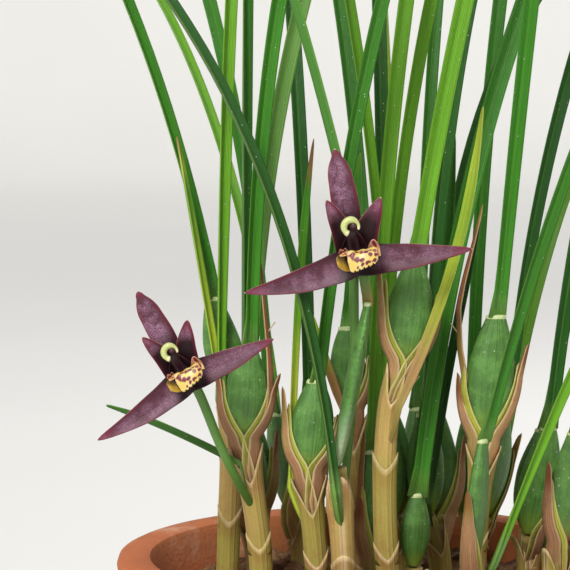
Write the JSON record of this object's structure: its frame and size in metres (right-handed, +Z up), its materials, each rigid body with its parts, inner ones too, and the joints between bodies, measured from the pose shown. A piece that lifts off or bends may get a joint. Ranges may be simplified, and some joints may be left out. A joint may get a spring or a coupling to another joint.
{
  "type": "potted coconut orchid",
  "caption": "Coconut orchid in a round terracotta pot: flattened green pseudobulbs, narrow leaves and dark red flowers.",
  "frame": {"origin": "centre of the pot's flat underside", "axes": "+Z up along the pot's axis, and the viewer of the flowers looks along +Y"},
  "size_m": [0.3774, 0.2659, 0.4363],
  "materials": {
    "terracotta": "matt unglazed",
    "bark": "matt rough",
    "green": "satin leaf",
    "sheath": "dry papery",
    "tepal": "satin petal",
    "lip": "waxy petal",
    "cap": "waxy petal"
  },
  "bodies": {
    "root": {"pot": "terracotta", "bark_mix": "bark", "shoot_1_stem": "sheath", "shoot_1_bulb_1": "green", "shoot_2_stem": "sheath", "shoot_2_bulb_1": "green", "shoot_3_stem": "sheath", "shoot_3_bulb_1": "green", "shoot_3_bulb_2": "green", "shoot_4_stem": "sheath", "shoot_4_bulb_1": "green", "shoot_5_stem": "sheath", "shoot_5_bulb_1": "green", "shoot_6_stem": "sheath", "shoot_6_bulb_1": "green", "shoot_7_stem": "sheath", "shoot_7_bulb_1": "green", "shoot_8_stem": "sheath", "shoot_8_bulb_1": "green", "shoot_9_stem": "sheath", "shoot_9_bulb_1": "green", "shoot_9_bulb_2": "green", "shoot_9_bulb_3": "green", "shoot_10_stem": "sheath", "shoot_10_bulb_1": "green", "shoot_10_bulb_2": "green", "shoot_11_stem": "sheath", "shoot_11_bulb_1": "green", "shoot_12_stem": "sheath", "shoot_12_bulb_1": "green", "shoot_13_stem": "sheath", "shoot_13_bulb_1": "green", "shoot_14_stem": "sheath", "shoot_14_bulb_1": "green", "shoot_14_bulb_2": "green", "shoot_15_stem": "sheath", "shoot_15_bulb_1": "green", "shoot_15_bulb_2": "green", "shoot_16_stem": "sheath", "shoot_16_bulb_1": "green", "shoot_16_bulb_2": "green", "shoot_17_stem": "sheath", "shoot_17_bulb_1": "green", "shoot_17_bulb_2": "green", "shoot_18_stem": "sheath", "shoot_18_bulb_1": "green", "flower_1_tepals": "tepal", "flower_1_lip": "lip", "flower_1_cap": "cap", "flower_2_tepals": "tepal", "flower_2_lip": "lip", "flower_2_cap": "cap"}
  },
  "joints": []
}
